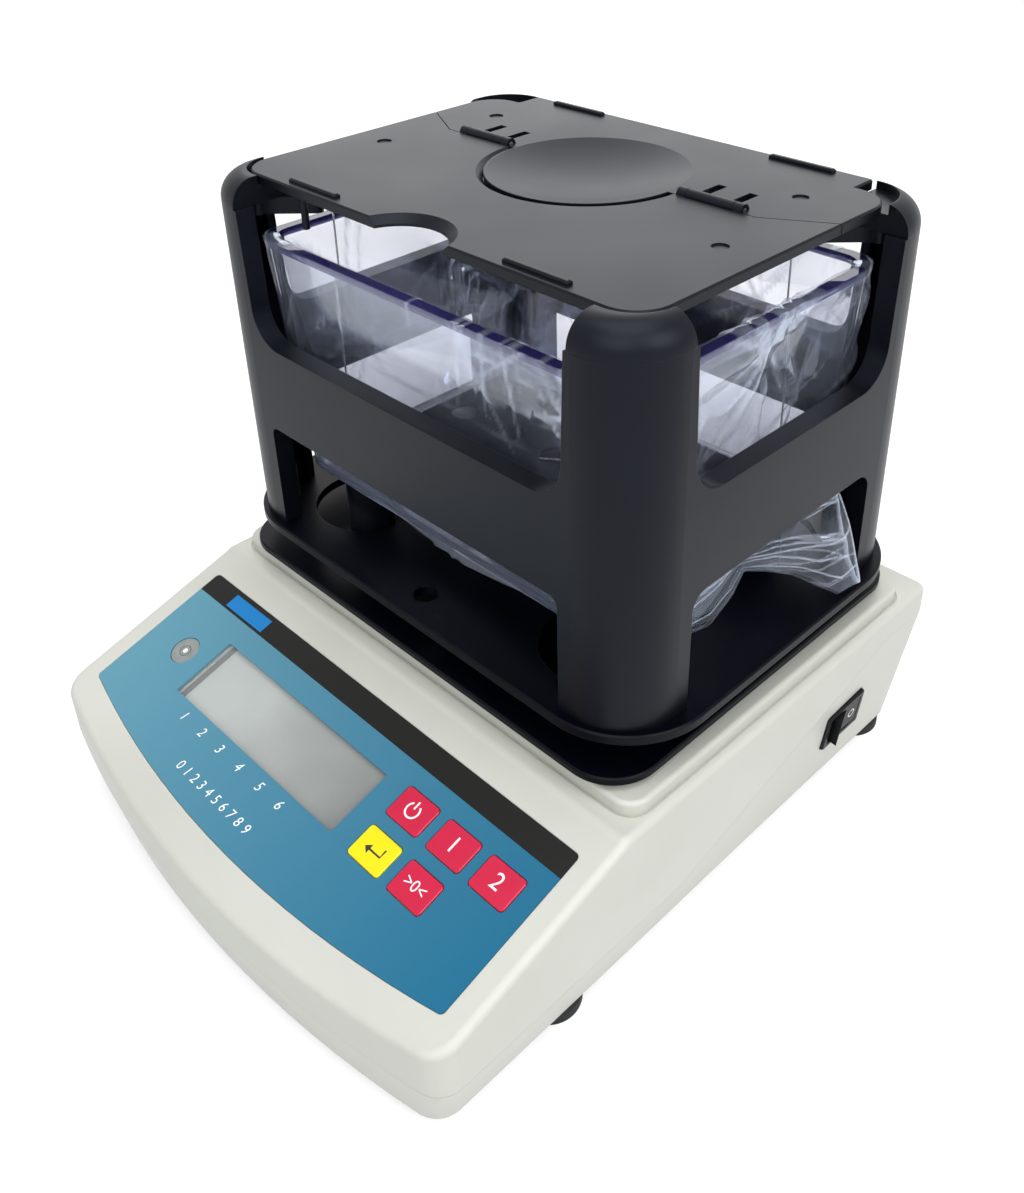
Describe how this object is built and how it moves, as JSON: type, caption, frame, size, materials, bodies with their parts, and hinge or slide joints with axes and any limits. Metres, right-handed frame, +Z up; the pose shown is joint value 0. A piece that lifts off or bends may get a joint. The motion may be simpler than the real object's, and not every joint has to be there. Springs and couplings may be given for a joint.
{
  "type": "benchtop density meter",
  "caption": "Balance with sloping display panel, weighing platform, open measuring frame with hinged lid and weighing dish, clear water tank and hanging basket.",
  "frame": {"origin": "on the bench, under the middle of the housing", "axes": "+X to the operator's right, +Y away from the operator, +Z up"},
  "size_m": [0.1962, 0.234, 0.2021],
  "materials": {
    "housing_abs": "fine moulded texture",
    "black_abs": "satin moulded",
    "black_plate": "black anodised",
    "clear_tank": "clear polished",
    "clear_film": "thin crinkled film",
    "overlay_film": "printed film",
    "clear_lens": "clear",
    "display_glass": "grey display, off",
    "vial_acrylic": "clear",
    "red_key": "printed film",
    "yellow_key": "printed film",
    "black_nylon": "moulded",
    "foot_rubber": "moulded",
    "zinc_steel": "zinc plated",
    "stainless": "drawn wire and punched sheet",
    "cell_aluminium": "milled",
    "circuit_board": "solder mask"
  },
  "bodies": {
    "housing": {"upper_housing": "housing_abs", "lower_housing": "housing_abs", "housing_screws": "zinc_steel", "front_overlay": "overlay_film", "display_window": "clear_lens", "lcd_panel": "display_glass", "display_board": "circuit_board", "board_screws": "zinc_steel", "key_switches": "circuit_board", "level_vial": "vial_acrylic", "switch_bezel": "black_nylon", "switch_body": "black_nylon", "power_inlet": "black_nylon", "inlet_nut": "zinc_steel", "foot_nuts": "zinc_steel", "load_cell_base": "cell_aluminium", "load_cell": "cell_aluminium", "load_cell_screws": "zinc_steel", "main_board": "circuit_board", "main_board_screws": "zinc_steel", "bench_plate": "black_plate", "plate_spacers": "cell_aluminium", "tank_pillars": "black_abs", "pillar_pads": "foot_rubber", "pillar_screws": "zinc_steel", "tank": "clear_tank", "tank_bag": "clear_film", "bag_tail": "clear_film"},
    "platform": {"pan_support": "cell_aluminium", "weighing_plate": "black_plate", "plate_screws": "zinc_steel", "frame_screws": "zinc_steel", "measuring_frame": "black_abs", "corner_caps": "black_abs", "basket_arms": "black_abs", "basket_wire": "stainless", "basket_tray": "stainless"},
    "lid": {"rear_lid": "black_abs", "hinge_pins": "zinc_steel"},
    "flap": {"front_flap": "black_abs"},
    "rocker": {"rocker": "black_nylon"},
    "key_power": {"key_power": "red_key"},
    "key_one": {"key_one": "red_key"},
    "key_two": {"key_two": "red_key"},
    "key_enter": {"key_enter": "yellow_key"},
    "key_zero": {"key_zero": "red_key"},
    "foot_front_left": {"foot_front_left": "foot_rubber"},
    "foot_front_right": {"foot_front_right": "foot_rubber"},
    "foot_rear_left": {"foot_rear_left": "foot_rubber"},
    "foot_rear_right": {"foot_rear_right": "foot_rubber"}
  },
  "joints": [
    {"name": "platform_sink", "type": "slide", "parent": "housing", "child": "platform", "axis": [0, 0, 1], "range_m": [-0.0005, 0], "stiffness_N_per_m": 20000, "springref_m": 0.0003},
    {"name": "lid_lift", "type": "slide", "parent": "platform", "child": "lid", "axis": [0, 0, 1], "range_m": [0, 0.04]},
    {"name": "flap_hinge", "type": "hinge", "parent": "lid", "child": "flap", "pos_m": [0, 0.0519, 0.2002], "axis": [-1, 0, 0], "range_deg": [0, 100]},
    {"name": "rocker_tip", "type": "hinge", "parent": "housing", "child": "rocker", "pos_m": [0.09346, 0.073, 0.02617], "axis": [-0.1133, 0, -0.9936], "range_deg": [0, 20]},
    {"name": "key_power_press", "type": "slide", "parent": "housing", "child": "key_power", "axis": [0, 0.2937, -0.9559], "range_m": [0, 0.0004], "stiffness_N_per_m": 1500},
    {"name": "key_one_press", "type": "slide", "parent": "housing", "child": "key_one", "axis": [0, 0.2937, -0.9559], "range_m": [0, 0.0004], "stiffness_N_per_m": 1500},
    {"name": "key_two_press", "type": "slide", "parent": "housing", "child": "key_two", "axis": [0, 0.2937, -0.9559], "range_m": [0, 0.0004], "stiffness_N_per_m": 1500},
    {"name": "key_enter_press", "type": "slide", "parent": "housing", "child": "key_enter", "axis": [0, 0.2937, -0.9559], "range_m": [0, 0.0004], "stiffness_N_per_m": 1500},
    {"name": "key_zero_press", "type": "slide", "parent": "housing", "child": "key_zero", "axis": [0, 0.2937, -0.9559], "range_m": [0, 0.0004], "stiffness_N_per_m": 1500},
    {"name": "foot_front_left_turn", "type": "hinge", "parent": "housing", "child": "foot_front_left", "pos_m": [-0.083, -0.0545, 0], "axis": [0, 0, 1], "range_deg": [-180, 180]},
    {"name": "foot_front_right_turn", "type": "hinge", "parent": "housing", "child": "foot_front_right", "pos_m": [0.083, -0.0545, 0], "axis": [0, 0, 1], "range_deg": [-180, 180]},
    {"name": "foot_rear_left_turn", "type": "hinge", "parent": "housing", "child": "foot_rear_left", "pos_m": [-0.083, 0.101, 0], "axis": [0, 0, 1], "range_deg": [-180, 180]},
    {"name": "foot_rear_right_turn", "type": "hinge", "parent": "housing", "child": "foot_rear_right", "pos_m": [0.083, 0.101, 0], "axis": [0, 0, 1], "range_deg": [-180, 180]}
  ]
}
